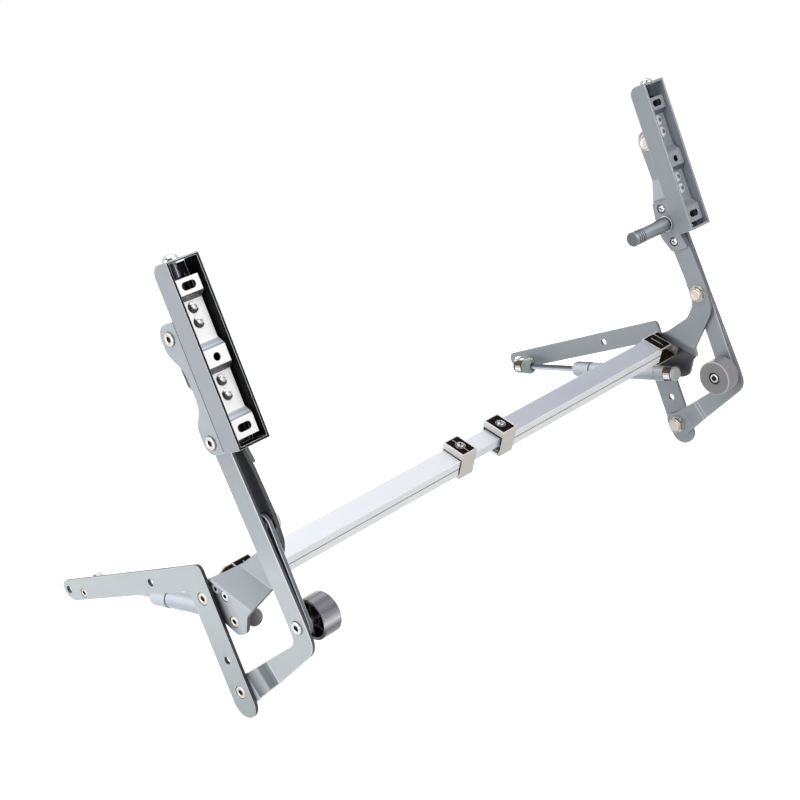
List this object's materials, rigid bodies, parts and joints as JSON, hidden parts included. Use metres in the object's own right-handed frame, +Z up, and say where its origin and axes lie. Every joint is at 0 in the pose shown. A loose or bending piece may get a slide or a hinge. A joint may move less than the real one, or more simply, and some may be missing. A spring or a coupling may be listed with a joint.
{
  "type": "gas-assisted lift mechanism",
  "caption": "Lift arms for a cabinet front: wall brackets, parallel arms and legs, upright channels, gas struts and a telescopic cross tube.",
  "frame": {"origin": "centre of the lower fixing hole of the left bracket, on the face that meets the cabinet side", "axes": "+X forward out of the cabinet, +Y from the left unit to the right unit, +Z up"},
  "size_m": [0.2917, 0.564, 0.3325],
  "materials": {
    "painted_steel": "satin",
    "arm_paint": "satin",
    "nickel": "satin",
    "bright_steel": "polished",
    "dark_steel": "satin",
    "roller_plastic": "matte",
    "socket_metal": "satin",
    "dark_socket": "satin",
    "strut_paint": "gloss",
    "aluminium": "anodised"
  },
  "bodies": {
    "left_bracket": {"left_wall_bracket": "painted_steel", "left_lift_pivot": "nickel", "left_leg_pivot": "nickel", "left_rod_stud": "nickel"},
    "left_arm": {"left_lift_arm": "arm_paint", "left_link_pivot": "nickel", "left_peg_plate": "arm_paint", "left_tail_stud": "nickel", "left_tube_bracket": "nickel", "left_outer_tube": "aluminium", "left_clamp": "nickel", "left_clamp_screw": "bright_steel"},
    "left_leg": {"left_guide_leg": "painted_steel", "left_roller_axle": "nickel"},
    "left_roller_wheel": {"left_roller": "roller_plastic"},
    "left_link": {"left_link_bar": "arm_paint"},
    "left_channel_unit": {"left_coupler_plate": "arm_paint", "left_arm_head_pivot": "nickel", "left_leg_head_pivot": "nickel", "left_channel": "arm_paint", "left_channel_screw": "bright_steel", "left_mounting_strip": "bright_steel", "left_adjuster_rail": "dark_steel"},
    "left_strut_rod_unit": {"left_rod_socket": "socket_metal", "left_strut_rod": "bright_steel"},
    "left_strut_body": {"left_strut_cylinder": "strut_paint", "left_seal_cap": "strut_paint", "left_tail_socket": "dark_socket"},
    "tube_slider": {"inner_tube": "aluminium"},
    "right_bracket": {"right_wall_bracket": "painted_steel", "right_lift_pivot": "nickel", "right_leg_pivot": "nickel", "right_rod_stud": "nickel"},
    "right_arm": {"right_lift_arm": "arm_paint", "right_link_pivot": "nickel", "right_peg_plate": "arm_paint", "right_peg": "arm_paint", "right_tail_stud": "nickel", "right_tube_bracket": "nickel", "right_outer_tube": "aluminium", "right_clamp": "nickel", "right_clamp_screw": "bright_steel"},
    "right_leg": {"right_guide_leg": "painted_steel", "right_roller_axle": "nickel"},
    "right_roller_wheel": {"right_roller": "roller_plastic"},
    "right_link": {"right_link_bar": "arm_paint"},
    "right_channel_unit": {"right_coupler_plate": "arm_paint", "right_arm_head_pivot": "nickel", "right_leg_head_pivot": "nickel", "right_channel": "arm_paint", "right_channel_screw": "bright_steel", "right_mounting_strip": "bright_steel", "right_adjuster_rail": "dark_steel"},
    "right_strut_rod_unit": {"right_rod_socket": "socket_metal", "right_strut_rod": "bright_steel"},
    "right_strut_body": {"right_strut_cylinder": "strut_paint", "right_seal_cap": "strut_paint", "right_tail_socket": "dark_socket"}
  },
  "joints": [
    {"name": "lift", "type": "hinge", "parent": "left_bracket", "child": "left_arm", "pos_m": [0, 0, 0.049], "axis": [0, 1, 0], "range_deg": [0, 70], "stiffness_Nm_per_rad": 2.6, "springref_deg": -171.89},
    {"name": "left_leg_swing", "type": "hinge", "parent": "left_bracket", "child": "left_leg", "pos_m": [0, 0, -0.026], "axis": [0, 1, 0], "range_deg": [0, 70]},
    {"name": "left_channel_swing", "type": "hinge", "parent": "left_arm", "child": "left_channel_unit", "pos_m": [0.0765, 0, 0.2336], "axis": [0, 1, 0], "range_deg": [-70, 0]},
    {"name": "left_link_swing", "type": "hinge", "parent": "left_arm", "child": "left_link", "pos_m": [0.0835, 0, 0.093], "axis": [0, 1, 0], "range_deg": [-70, 0]},
    {"name": "left_roller_spin", "type": "hinge", "parent": "left_leg", "child": "left_roller_wheel", "pos_m": [0.0835, 0, 0.018], "axis": [0, 1, 0], "continuous": true},
    {"name": "left_strut_swing", "type": "hinge", "parent": "left_bracket", "child": "left_strut_rod_unit", "pos_m": [-0.158, 0, 0.063], "axis": [0, 1, 0], "range_deg": [0, 5.2]},
    {"name": "left_strut_slide", "type": "slide", "parent": "left_strut_rod_unit", "child": "left_strut_body", "axis": [0.9793, 0, -0.2023], "range_m": [-0.0305, 0]},
    {"name": "right_bracket_swing", "type": "hinge", "parent": "right_arm", "child": "right_bracket", "pos_m": [0, 0.564, 0.049], "axis": [0, 1, 0], "range_deg": [-70, 0]},
    {"name": "right_leg_swing", "type": "hinge", "parent": "right_bracket", "child": "right_leg", "pos_m": [0, 0.564, -0.026], "axis": [0, 1, 0], "range_deg": [0, 70]},
    {"name": "right_channel_swing", "type": "hinge", "parent": "right_arm", "child": "right_channel_unit", "pos_m": [0.0765, 0.564, 0.2336], "axis": [0, 1, 0], "range_deg": [-70, 0]},
    {"name": "right_link_swing", "type": "hinge", "parent": "right_arm", "child": "right_link", "pos_m": [0.0835, 0.564, 0.093], "axis": [0, 1, 0], "range_deg": [-70, 0]},
    {"name": "right_roller_spin", "type": "hinge", "parent": "right_leg", "child": "right_roller_wheel", "pos_m": [0.0835, 0.564, 0.018], "axis": [0, 1, 0], "continuous": true},
    {"name": "right_strut_swing", "type": "hinge", "parent": "right_bracket", "child": "right_strut_rod_unit", "pos_m": [-0.158, 0.564, 0.063], "axis": [0, 1, 0], "range_deg": [0, 5.2]},
    {"name": "right_strut_slide", "type": "slide", "parent": "right_strut_rod_unit", "child": "right_strut_body", "axis": [0.9793, 0, -0.2023], "range_m": [-0.0305, 0]},
    {"name": "tube_left_slide", "type": "slide", "parent": "left_arm", "child": "tube_slider", "axis": [0, 1, 0], "range_m": [-0.015, 0.025]},
    {"name": "tube_right_slide", "type": "slide", "parent": "tube_slider", "child": "right_arm", "axis": [0, 1, 0], "range_m": [-0.015, 0.025]}
  ],
  "couplings": [
    {"joint": "left_leg_swing", "follows": "lift", "ratio": 1},
    {"joint": "left_channel_swing", "follows": "lift", "ratio": -1},
    {"joint": "left_link_swing", "follows": "lift", "ratio": -1},
    {"joint": "left_strut_swing", "follows": "lift", "ratio": 0.0729},
    {"joint": "left_strut_slide", "follows": "lift", "m_per_rad": -0.024821},
    {"joint": "right_bracket_swing", "follows": "lift", "ratio": -1},
    {"joint": "right_leg_swing", "follows": "lift", "ratio": 1},
    {"joint": "right_channel_swing", "follows": "lift", "ratio": -1},
    {"joint": "right_link_swing", "follows": "lift", "ratio": -1},
    {"joint": "right_strut_swing", "follows": "lift", "ratio": 0.0729},
    {"joint": "right_strut_slide", "follows": "lift", "m_per_rad": -0.024821}
  ]
}
